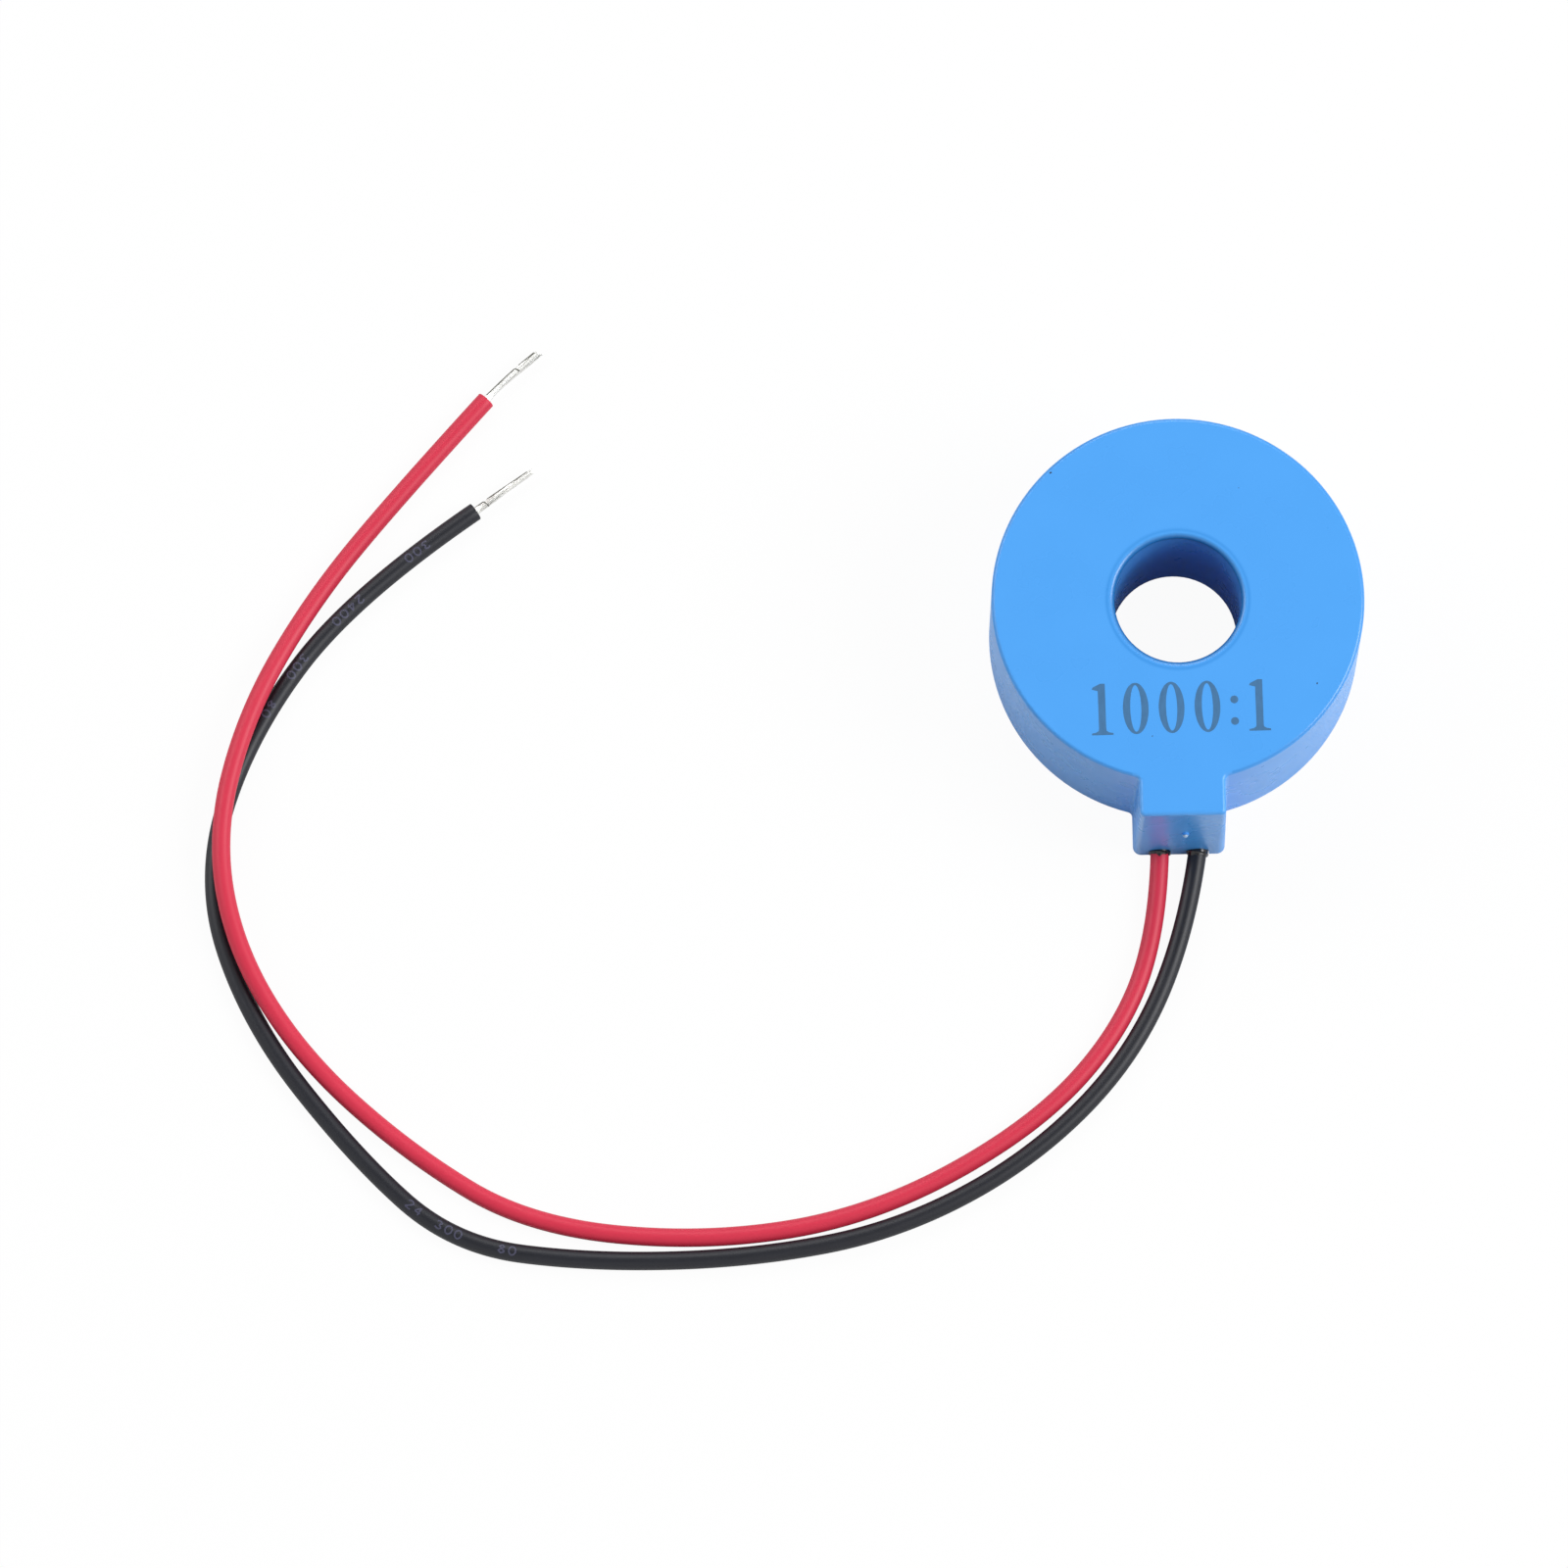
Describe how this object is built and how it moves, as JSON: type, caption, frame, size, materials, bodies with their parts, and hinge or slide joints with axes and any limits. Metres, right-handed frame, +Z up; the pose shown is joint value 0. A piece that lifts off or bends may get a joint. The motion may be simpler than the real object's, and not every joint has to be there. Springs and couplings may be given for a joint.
{
  "type": "current transformer",
  "caption": "Ring-core current transformer for measuring AC in a conductor passed through its bore: moulded case with a lead tab, potted from below, and two flying leads with stripped ends.",
  "frame": {"origin": "On the bore's axis, in the plane of the case's open rim, on which the part stands", "axes": "+Z up the bore's axis to the closed face; -Y to the lead tab; +X to the right, seen with the tab towards the viewer"},
  "size_m": [0.0846, 0.0689, 0.0125],
  "materials": {
    "case": "satin",
    "resin": "satin",
    "core": "satin",
    "core_box": "matte",
    "enamelled_copper": "satin",
    "tape": "satin",
    "solder": "satin",
    "sleeve": "matte",
    "tinned_copper": "satin",
    "red_pvc": "satin",
    "black_pvc": "satin"
  },
  "bodies": {
    "root": {"case_shell": "case", "potting_compound": "resin", "core_ring": "core", "core_box_cup": "core_box", "core_box_lid": "core_box", "secondary_winding": "enamelled_copper", "winding_tape": "tape", "red_winding_end": "enamelled_copper", "black_winding_end": "enamelled_copper", "red_solder_joint": "solder", "black_solder_joint": "solder", "red_splice_sleeve": "sleeve", "black_splice_sleeve": "sleeve", "red_inner_end": "tinned_copper", "black_inner_end": "tinned_copper", "red_lead": "red_pvc", "black_lead": "black_pvc", "red_bare_end": "tinned_copper", "black_bare_end": "tinned_copper"}
  },
  "joints": []
}
